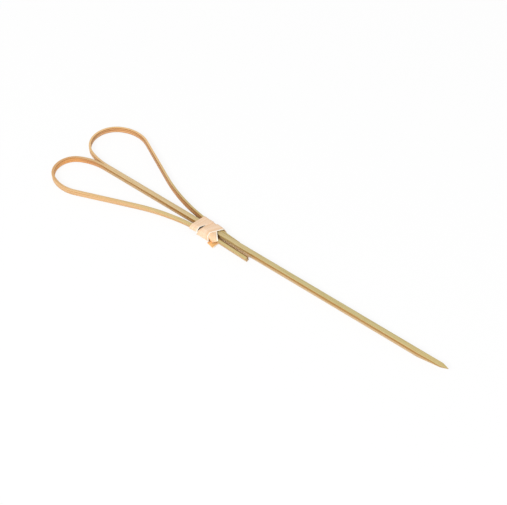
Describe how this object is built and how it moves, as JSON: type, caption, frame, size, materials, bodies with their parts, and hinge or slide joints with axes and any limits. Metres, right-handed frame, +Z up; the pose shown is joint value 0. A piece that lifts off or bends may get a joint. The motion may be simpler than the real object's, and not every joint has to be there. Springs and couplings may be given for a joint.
{
  "type": "bamboo heart pick",
  "caption": "Flat bamboo pick with its split end bent back into a heart of two loops, bound by a wound strip of bamboo skin, and sharpened at the other end.",
  "frame": {"origin": "under the middle of the part's box, at the height of the binding's underside", "axes": "+X along the stem to the point, +Y to the wide loop, +Z up from the surface it lies on"},
  "size_m": [0.1492, 0.0356, 0.0031],
  "materials": {
    "bamboo": "satin",
    "bamboo_skin": "satin"
  },
  "bodies": {
    "root": {"split_stick": "bamboo", "skin_tie": "bamboo_skin"}
  },
  "joints": []
}
